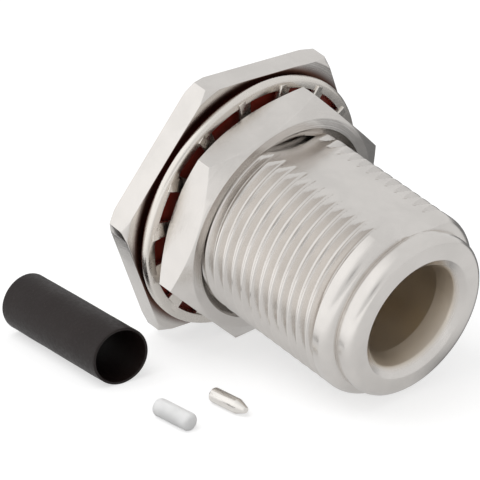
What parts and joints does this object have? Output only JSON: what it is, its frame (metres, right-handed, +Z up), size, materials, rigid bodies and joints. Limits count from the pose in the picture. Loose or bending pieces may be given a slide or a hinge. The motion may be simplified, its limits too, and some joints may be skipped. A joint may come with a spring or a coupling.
{
  "type": "n type connector",
  "caption": "Bulkhead coaxial jack with hex flange, threaded barrel, nut, lock washer and gasket, lying beside its loose cable pin, insulator and sleeve.",
  "frame": {"origin": "on the connector's axis, in the plane of the flange face that seats on a panel", "axes": "+Z up as the connector lies at rest, +X the level direction its nose points in, +Y to the left of +X; the connector's own axis dips below +X by the rest tilt"},
  "size_m": [0.0325, 0.0295, 0.0228],
  "materials": {
    "nickel_plating": "bright nickel plate on turned brass, warm reflections",
    "washer_plating": "bright nickel plate on stamped spring steel, softer than the turned parts",
    "nut_plating": "bright nickel plate on turned brass, fine lathe marks on the faces",
    "gasket_rubber": "dark red silicone rubber, smooth and slightly satin",
    "contact_gold": "gold plate on phosphor bronze, bright",
    "pin_plating": "bright silver-toned plate on brass",
    "white_insulator": "white fluoropolymer, waxy and faintly translucent",
    "bead_insulator": "white fluoropolymer bead, waxy and faintly translucent",
    "sleeve_plastic": "black heat-shrink tube, satin"
  },
  "bodies": {
    "root": {"connector_body": "nickel_plating", "panel_gasket": "gasket_rubber", "center_contact": "contact_gold", "front_insulator": "white_insulator", "rear_insulator": "white_insulator", "cable_ferrule": "nickel_plating", "cable_pin": "pin_plating", "cable_insulator": "bead_insulator", "shrink_sleeve": "sleeve_plastic"},
    "washer": {"lock_washer": "washer_plating"},
    "nut": {"hex_nut": "nut_plating"}
  },
  "joints": [
    {"name": "washer_slide", "type": "slide", "parent": "root", "child": "washer", "axis": [0.9801, 0, -0.1984], "range_m": [0, 0.0195]},
    {"name": "nut_spin", "type": "hinge", "parent": "washer", "child": "nut", "pos_m": [0, 0, 0], "axis": [0.9801, 0, -0.1984], "range_deg": [0, 6480]}
  ],
  "couplings": [
    {"joint": "washer_slide", "follows": "nut_spin", "m_per_rad": 0.00016843}
  ]
}
